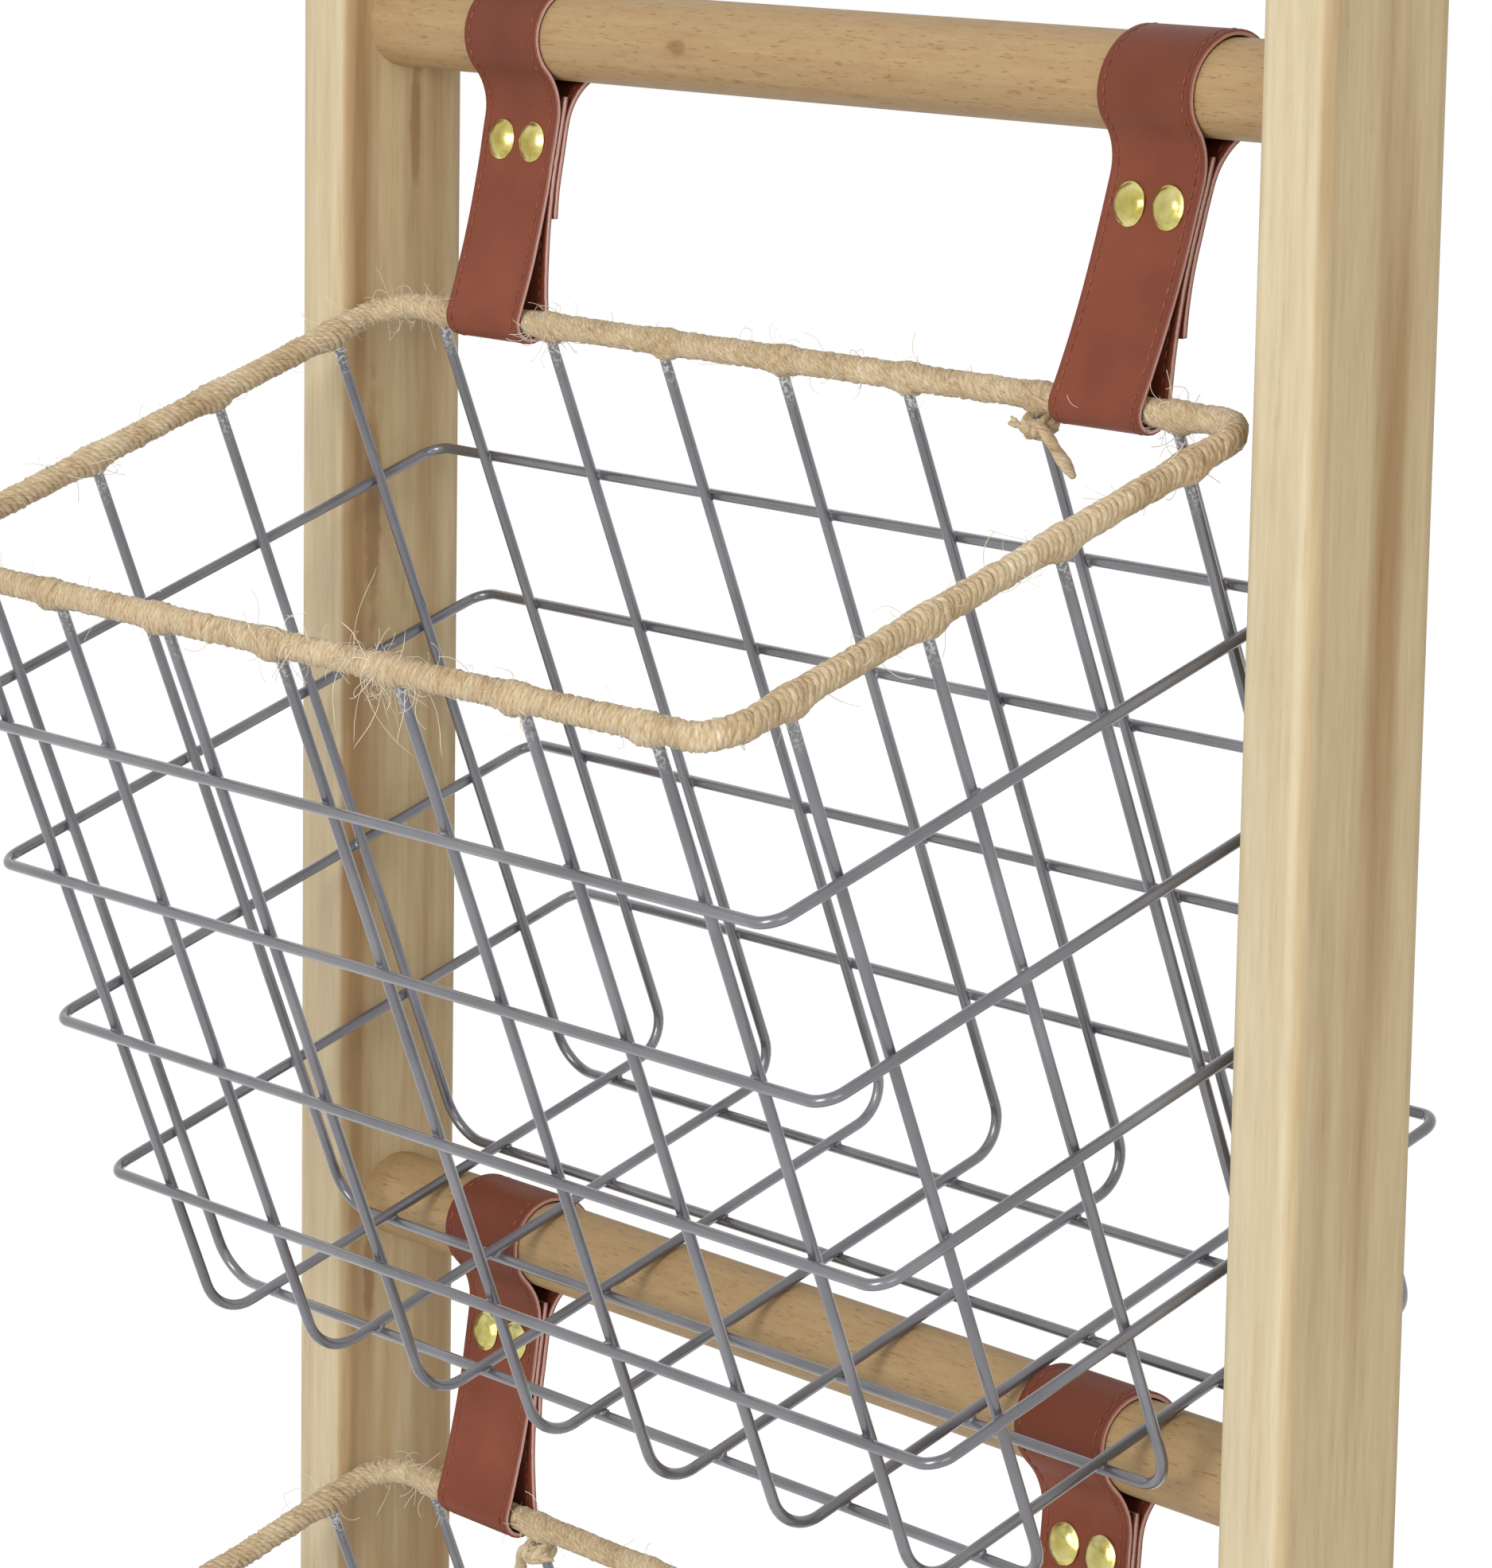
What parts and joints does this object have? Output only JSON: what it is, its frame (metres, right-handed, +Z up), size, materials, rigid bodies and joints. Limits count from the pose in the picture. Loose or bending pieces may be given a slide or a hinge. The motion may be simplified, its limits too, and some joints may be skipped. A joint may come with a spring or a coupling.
{
  "type": "wire basket shelf",
  "caption": "Leaning wooden ladder shelf with wire baskets whose twine-bound rims hang from round rungs by riveted leather straps, each basket resting on the rung below.",
  "frame": {"origin": "middle of the footprint, on the floor", "axes": "+X to the right along the rungs, +Y back towards the wall, +Z up"},
  "size_m": [0.478, 0.5914, 1.3754],
  "materials": {
    "post_wood": "satin",
    "rung_wood": "satin",
    "leather": "satin",
    "rivet_brass": "polished",
    "jute_twine": "matte",
    "wire_paint": "satin"
  },
  "bodies": {
    "ladder": {"left_post": "post_wood", "right_post": "post_wood", "top_rung": "rung_wood", "second_rung": "rung_wood", "third_rung": "rung_wood", "bottom_rung": "rung_wood"},
    "upper_straps": {"upper_left_strap": "leather", "upper_right_strap": "leather", "upper_left_rivets": "rivet_brass", "upper_right_rivets": "rivet_brass"},
    "upper_basket": {"upper_rim_wire": "wire_paint", "upper_rim_wrap": "jute_twine", "upper_wrap_knot": "jute_twine", "upper_rings": "wire_paint", "upper_depth_wires": "wire_paint", "upper_width_wires": "wire_paint"},
    "middle_straps": {"middle_left_strap": "leather", "middle_right_strap": "leather", "middle_left_rivets": "rivet_brass", "middle_right_rivets": "rivet_brass"},
    "middle_basket": {"middle_rim_wire": "wire_paint", "middle_rim_wrap": "jute_twine", "middle_wrap_knot": "jute_twine", "middle_rings": "wire_paint", "middle_depth_wires": "wire_paint", "middle_width_wires": "wire_paint"},
    "lower_straps": {"lower_left_strap": "leather", "lower_right_strap": "leather", "lower_left_rivets": "rivet_brass", "lower_right_rivets": "rivet_brass"},
    "lower_basket": {"lower_rim_wire": "wire_paint", "lower_rim_wrap": "jute_twine", "lower_wrap_knot": "jute_twine", "lower_rings": "wire_paint", "lower_depth_wires": "wire_paint", "lower_width_wires": "wire_paint"}
  },
  "joints": [
    {"name": "upper_strap_swing", "type": "hinge", "parent": "ladder", "child": "upper_straps", "pos_m": [0, 0.22555, 1.22676], "axis": [1, 0, 0], "range_deg": [-25, 0]},
    {"name": "upper_basket_tilt", "type": "hinge", "parent": "upper_straps", "child": "upper_basket", "pos_m": [0, 0.1823, 1.14776], "axis": [1, 0, 0], "range_deg": [-25, 0]},
    {"name": "middle_strap_swing", "type": "hinge", "parent": "ladder", "child": "middle_straps", "pos_m": [0, 0.0865, 0.86452], "axis": [1, 0, 0], "range_deg": [-25, 0]},
    {"name": "middle_basket_tilt", "type": "hinge", "parent": "middle_straps", "child": "middle_basket", "pos_m": [0, 0.04324, 0.78552], "axis": [1, 0, 0], "range_deg": [-25, 0]},
    {"name": "lower_strap_swing", "type": "hinge", "parent": "ladder", "child": "lower_straps", "pos_m": [0, -0.05256, 0.50228], "axis": [1, 0, 0], "range_deg": [-25, 0]},
    {"name": "lower_basket_tilt", "type": "hinge", "parent": "lower_straps", "child": "lower_basket", "pos_m": [0, -0.09581, 0.42328], "axis": [1, 0, 0], "range_deg": [-25, 0]}
  ]
}
